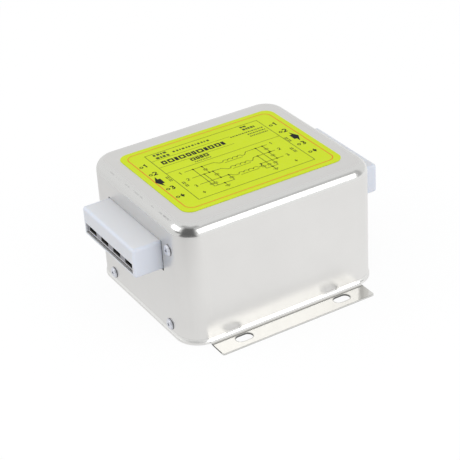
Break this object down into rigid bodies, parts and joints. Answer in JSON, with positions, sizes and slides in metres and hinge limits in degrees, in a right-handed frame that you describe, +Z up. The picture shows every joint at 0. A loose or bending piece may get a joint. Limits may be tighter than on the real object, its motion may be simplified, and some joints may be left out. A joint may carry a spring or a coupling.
{
  "type": "emi line filter",
  "caption": "Boxed mains line filter: drawn steel case on slotted flanges, covered terminal block at each end, ring choke and capacitors inside.",
  "frame": {"origin": "middle of the footprint, on the mounting face under the flanges", "axes": "+X along the line from the input terminals to the output terminals, +Y across the case towards one mounting flange, +Z up away from the mounting face"},
  "size_m": [0.1524, 0.129, 0.0723],
  "materials": {
    "case_steel": "satin plated drawn steel",
    "rivet_metal": "satin blind rivets",
    "label_film": "printed adhesive film, yellow green with orange and black print",
    "block_plastic": "moulded grey plastic",
    "cover_plastic": "milky white moulded plastic",
    "plated_steel": "zinc plated steel",
    "earth_insulation": "green and yellow insulated wire",
    "clamp_metal": "plated steel cage",
    "bar_brass": "tinned brass strip",
    "board_green": "circuit board with green mask",
    "insulation_film": "insulating film",
    "core_coating": "coated ferrite ring",
    "choke_plastic": "natural moulded plastic",
    "fibre_board": "pressed fibre board",
    "enamelled_wire": "enamelled copper wire",
    "x_capacitor_case": "yellow capacitor case",
    "y_capacitor_case": "blue capacitor case",
    "resistor_body": "lacquered resistor body"
  },
  "bodies": {
    "root": {"case": "case_steel", "bottom_plate": "case_steel", "bottom_rivets": "rivet_metal", "block_rivets": "rivet_metal", "label": "label_film", "input_block": "block_plastic", "input_cover": "cover_plastic", "input_screws": "plated_steel", "input_earth_lead": "earth_insulation", "input_clamp_1": "clamp_metal", "input_clamp_2": "clamp_metal", "input_clamp_3": "clamp_metal", "input_clamp_4": "clamp_metal", "input_bar_1": "bar_brass", "input_bar_2": "bar_brass", "input_bar_3": "bar_brass", "input_bar_4": "bar_brass", "output_block": "block_plastic", "output_cover": "cover_plastic", "output_screws": "plated_steel", "output_earth_lead": "earth_insulation", "output_clamp_1": "clamp_metal", "output_clamp_2": "clamp_metal", "output_clamp_3": "clamp_metal", "output_clamp_4": "clamp_metal", "output_bar_1": "bar_brass", "output_bar_2": "bar_brass", "output_bar_3": "bar_brass", "output_bar_4": "bar_brass", "circuit_board": "board_green", "standoffs": "plated_steel", "board_screws": "plated_steel", "standoff_screws": "plated_steel", "earth_screws": "plated_steel", "insulation_sheet": "insulation_film", "choke_core": "core_coating", "choke_base": "choke_plastic", "phase_divider": "choke_plastic", "choke_clamp": "fibre_board", "choke_bolt": "plated_steel", "choke_nut": "plated_steel", "winding_1": "enamelled_wire", "winding_2": "enamelled_wire", "winding_3": "enamelled_wire", "x_capacitor_1": "x_capacitor_case", "x_capacitor_2": "x_capacitor_case", "x_capacitor_3": "x_capacitor_case", "y_capacitor_1": "y_capacitor_case", "y_capacitor_2": "y_capacitor_case", "y_capacitor_3": "y_capacitor_case", "bleed_resistor_1": "resistor_body", "bleed_resistor_2": "resistor_body", "bleed_resistor_3": "resistor_body"}
  },
  "joints": []
}
